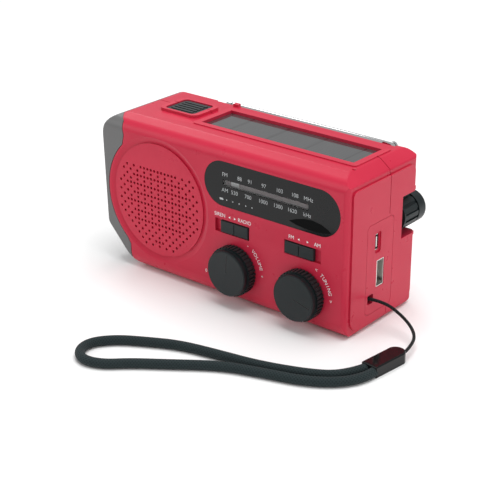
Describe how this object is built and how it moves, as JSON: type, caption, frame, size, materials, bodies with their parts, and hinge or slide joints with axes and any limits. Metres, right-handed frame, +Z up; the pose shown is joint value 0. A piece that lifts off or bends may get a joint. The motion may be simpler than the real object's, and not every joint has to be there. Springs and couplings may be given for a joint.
{
  "type": "emergency radio",
  "caption": "Portable hand-crank emergency radio with solar panel, torch end, dial, speaker grille, folding crank, telescopic antenna and wrist strap.",
  "frame": {"origin": "middle of the base, on the surface it stands on", "axes": "+X towards the end with the sockets, -Y out of the speaker and dial face, +Z up"},
  "size_m": [0.1797, 0.152, 0.0793],
  "materials": {
    "red_plastic": "satin",
    "grey_plastic": "satin",
    "black_plastic": "satin",
    "gloss_black": "gloss",
    "dark_rubber": "matte",
    "clear_plastic": "clear",
    "reflector": "bright",
    "led": "gloss",
    "circuit_board": "satin",
    "steel": "brushed",
    "cone_paper": "matte",
    "scale_plate": "matte",
    "pointer_white": "matte",
    "white_plastic": "matte",
    "battery_wrap": "gloss",
    "ferrite": "matte",
    "copper": "bright",
    "solar_cell": "gloss",
    "bright_metal": "bright",
    "chrome": "bright",
    "string_cord": "twisted",
    "woven_cord": "woven"
  },
  "bodies": {
    "radio": {"back_shell": "red_plastic", "band_switch": "steel", "battery_cell": "battery_wrap", "battery_cradle": "black_plastic", "battery_door": "red_plastic", "board_parts": "black_plastic", "dial_lens": "gloss_black", "dial_scale": "scale_plate", "dial_strip": "clear_plastic", "end_cap": "grey_plastic", "ferrite_coil": "copper", "ferrite_rod": "ferrite", "front_shell": "red_plastic", "gearbox_plate": "black_plastic", "generator_case": "steel", "housing_screws": "steel", "main_board": "circuit_board", "micro_usb_socket": "bright_metal", "mode_switch": "steel", "port_board": "circuit_board", "port_panel": "red_plastic", "solar_panel": "solar_cell", "speaker_basket": "steel", "speaker_cone": "cone_paper", "speaker_magnet": "steel", "strap_bar": "steel", "strap_clip": "gloss_black", "strap_string": "string_cord", "torch_board": "circuit_board", "torch_leds": "led", "torch_lens": "clear_plastic", "torch_reflector": "reflector", "torch_switch": "black_plastic", "tuning_capacitor": "white_plastic", "usb_a_socket": "bright_metal", "usb_a_tongue": "white_plastic", "volume_control": "steel", "wrist_loop": "woven_cord"},
    "volume_knob": {"volume_knob": "black_plastic"},
    "tuning_knob": {"tuning_knob": "black_plastic"},
    "pointer": {"tuning_pointer": "pointer_white"},
    "mode_switch_cap": {"mode_switch_cap": "black_plastic"},
    "band_switch_cap": {"band_switch_cap": "black_plastic"},
    "torch_button": {"torch_button": "dark_rubber"},
    "crank_hub": {"crank_hub": "black_plastic", "flip_pin": "steel", "crank_gear": "white_plastic"},
    "crank_arm": {"crank_arm": "black_plastic"},
    "crank_knob": {"crank_knob": "black_plastic", "knob_plug": "black_plastic"},
    "generator_rotor": {"generator_rotor": "copper"},
    "antenna_base": {"antenna_base": "chrome", "antenna_pin": "steel"},
    "antenna_mast": {"antenna_knuckle": "chrome", "antenna_section_1": "chrome"},
    "antenna_section_2": {"antenna_section_2": "chrome"},
    "antenna_section_3": {"antenna_section_3": "chrome"},
    "antenna_section_4": {"antenna_section_4": "chrome"}
  },
  "joints": [
    {"name": "volume_turn", "type": "hinge", "parent": "radio", "child": "volume_knob", "pos_m": [0.0102, -0.028, 0.018], "axis": [0, 1, 0], "range_deg": [-113, 150]},
    {"name": "tuning_turn", "type": "hinge", "parent": "radio", "child": "tuning_knob", "pos_m": [0.0496, -0.028, 0.0173], "axis": [0, 1, 0], "range_deg": [-12, 170]},
    {"name": "pointer_slide", "type": "slide", "parent": "radio", "child": "pointer", "axis": [1, 0, 0], "range_m": [-0.0031, 0.042]},
    {"name": "mode_switch_slide", "type": "slide", "parent": "radio", "child": "mode_switch_cap", "axis": [1, 0, 0], "range_m": [-0.0034, 0]},
    {"name": "band_switch_slide", "type": "slide", "parent": "radio", "child": "band_switch_cap", "axis": [1, 0, 0], "range_m": [0, 0.0036]},
    {"name": "torch_button_press", "type": "slide", "parent": "radio", "child": "torch_button", "axis": [0, 0, -1], "range_m": [0, 0.0012], "stiffness_N_per_m": 400, "springref_m": -0.001},
    {"name": "crank_turn", "type": "hinge", "parent": "radio", "child": "crank_hub", "pos_m": [0.022, 0.0275, 0.046], "axis": [0, -1, 0], "range_deg": [-1.2, 4]},
    {"name": "crank_flip", "type": "hinge", "parent": "crank_hub", "child": "crank_arm", "pos_m": [0.022, 0.0315, 0.046], "axis": [0, 0, 1], "range_deg": [0, 180]},
    {"name": "knob_spin", "type": "hinge", "parent": "crank_arm", "child": "crank_knob", "pos_m": [0.0667, 0.022, 0.046], "axis": [0, 1, 0], "continuous": true},
    {"name": "generator_spin", "type": "hinge", "parent": "radio", "child": "generator_rotor", "pos_m": [0.0045, 0.004, 0.046], "axis": [0, -1, 0], "range_deg": [-17, 6]},
    {"name": "antenna_swivel", "type": "hinge", "parent": "radio", "child": "antenna_base", "pos_m": [0.06, 0.0245, 0.072], "axis": [0, 0, -1], "range_deg": [0, 100]},
    {"name": "antenna_tilt", "type": "hinge", "parent": "antenna_base", "child": "antenna_mast", "pos_m": [0.06, 0.0245, 0.0755], "axis": [0, 1, 0], "range_deg": [0, 90]},
    {"name": "antenna_pull_2", "type": "slide", "parent": "antenna_mast", "child": "antenna_section_2", "axis": [-1, 0, 0], "range_m": [0, 0.07]},
    {"name": "antenna_pull_3", "type": "slide", "parent": "antenna_section_2", "child": "antenna_section_3", "axis": [-1, 0, 0], "range_m": [0, 0.066]},
    {"name": "antenna_pull_4", "type": "slide", "parent": "antenna_section_3", "child": "antenna_section_4", "axis": [-1, 0, 0], "range_m": [0, 0.062]}
  ],
  "couplings": [
    {"joint": "pointer_slide", "follows": "tuning_turn", "m_per_rad": 0.01405},
    {"joint": "generator_spin", "follows": "crank_turn", "ratio": -4}
  ]
}
